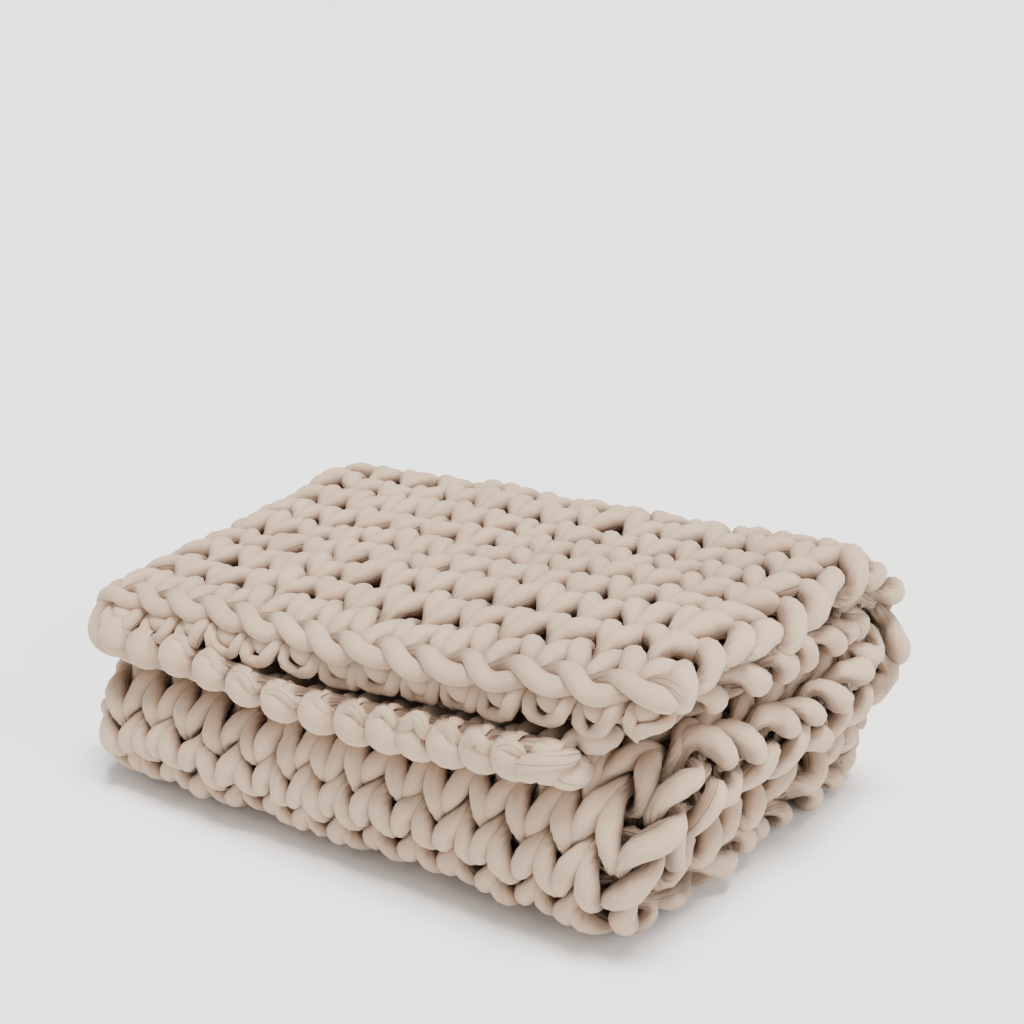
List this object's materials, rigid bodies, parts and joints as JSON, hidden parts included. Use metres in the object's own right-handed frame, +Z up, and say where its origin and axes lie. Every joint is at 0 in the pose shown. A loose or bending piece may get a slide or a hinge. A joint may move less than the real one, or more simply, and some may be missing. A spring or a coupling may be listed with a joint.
{
  "type": "weighted blanket",
  "caption": "Chunky knitted weighted blanket, folded in half lengthwise and then in an S, lying as a soft stack.",
  "frame": {"origin": "centre of the bounding box's base, on the surface under the folded stack", "axes": "+X along the stack's long side towards the open selvedges, +Y towards the back fold, +Z up"},
  "size_m": [0.579, 0.3812, 0.2327],
  "materials": {
    "oatmeal_cotton": "matte cotton jersey tube yarn"
  },
  "bodies": {
    "root": {"knitted_blanket": "oatmeal_cotton"}
  },
  "joints": []
}
